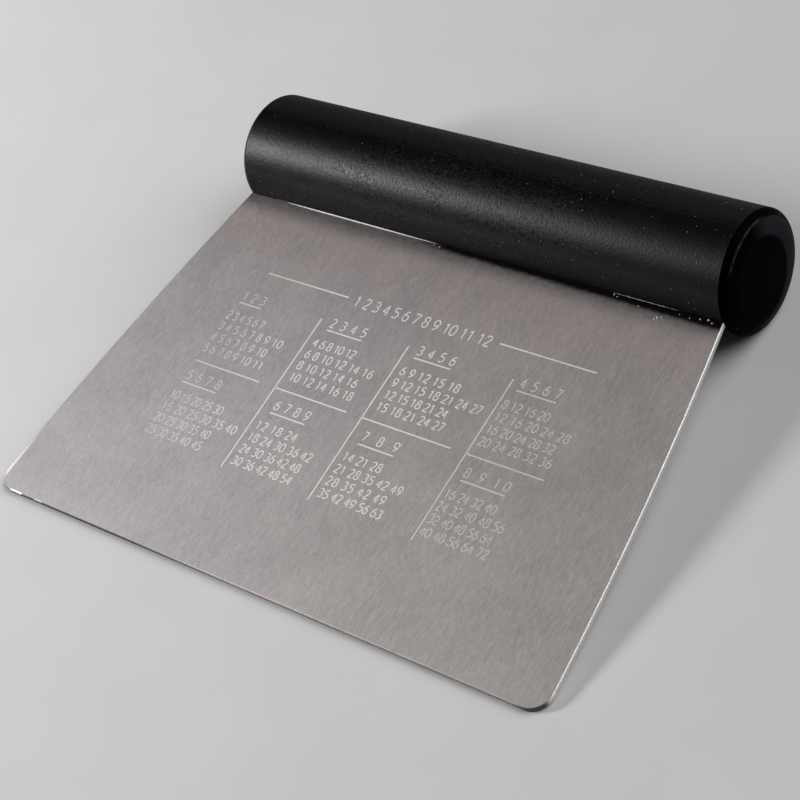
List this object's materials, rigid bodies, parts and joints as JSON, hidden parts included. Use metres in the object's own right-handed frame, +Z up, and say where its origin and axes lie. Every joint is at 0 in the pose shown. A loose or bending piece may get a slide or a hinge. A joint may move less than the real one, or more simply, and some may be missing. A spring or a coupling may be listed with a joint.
{
  "type": "bench scraper",
  "caption": "Flared stainless steel scraper blade held across a black round grip with flat-faced end caps.",
  "frame": {"origin": "on the worktop, under the middle of the scraper's box as it lies at rest", "axes": "+X along the grip, +Y from the scraping edge towards the grip, +Z up from the worktop"},
  "size_m": [0.1516, 0.1142, 0.0265],
  "materials": {
    "blade_steel": "brushed along its depth, with pale etched rules and numerals",
    "core_plastic": "as moulded, hidden inside the grip",
    "grip_rubber": "matt black with a fine grain",
    "cap_plastic": "satin black"
  },
  "bodies": {
    "root": {"blade": "blade_steel", "core_upper": "core_plastic", "core_lower": "core_plastic", "grip_sleeve": "grip_rubber", "end_cap_right": "cap_plastic", "end_cap_left": "cap_plastic"}
  },
  "joints": []
}
